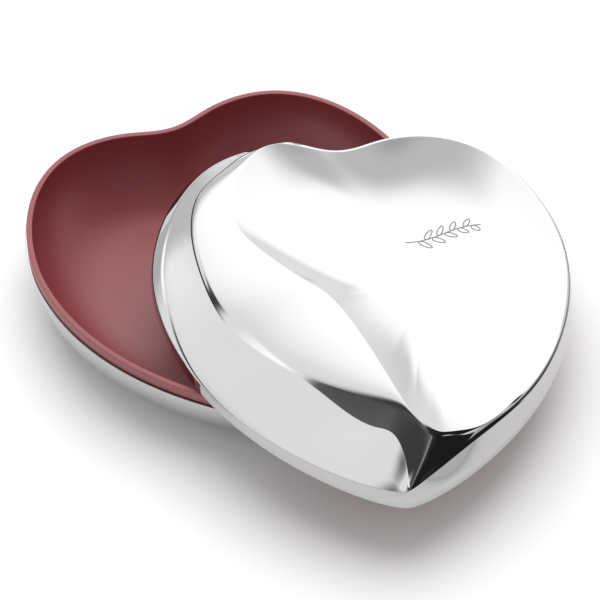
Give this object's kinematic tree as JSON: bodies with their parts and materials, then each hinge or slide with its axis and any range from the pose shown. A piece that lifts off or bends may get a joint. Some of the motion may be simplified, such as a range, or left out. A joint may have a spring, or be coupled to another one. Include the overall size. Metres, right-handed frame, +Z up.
{
  "type": "heart-shaped trinket box",
  "caption": "Heart-shaped metal trinket box: a shallow bowl with a red moulded insert, and a sculpted loose lid laid askew on the insert's lip.",
  "frame": {"origin": "middle of the flat foot under the base, on the heart's centre line and level with its widest points", "axes": "+Z up out of the bowl, -Y from the cleft towards the base heart's tip, +X to the right of that heart seen from above with its tip towards the viewer"},
  "size_m": [0.1565, 0.176, 0.0413],
  "materials": {
    "polished_steel": "mirror-polished stainless steel",
    "red_insert": "satin moulded plastic with a very fine grain"
  },
  "bodies": {
    "base": {"base_shell": "polished_steel", "base_liner": "red_insert"},
    "lid": {"lid_shell": "polished_steel", "lid_liner": "red_insert"}
  },
  "joints": [
    {"name": "lid_lift", "type": "slide", "parent": "base", "child": "lid", "axis": [0, 0, 1], "range_m": [0, 0.06]}
  ]
}
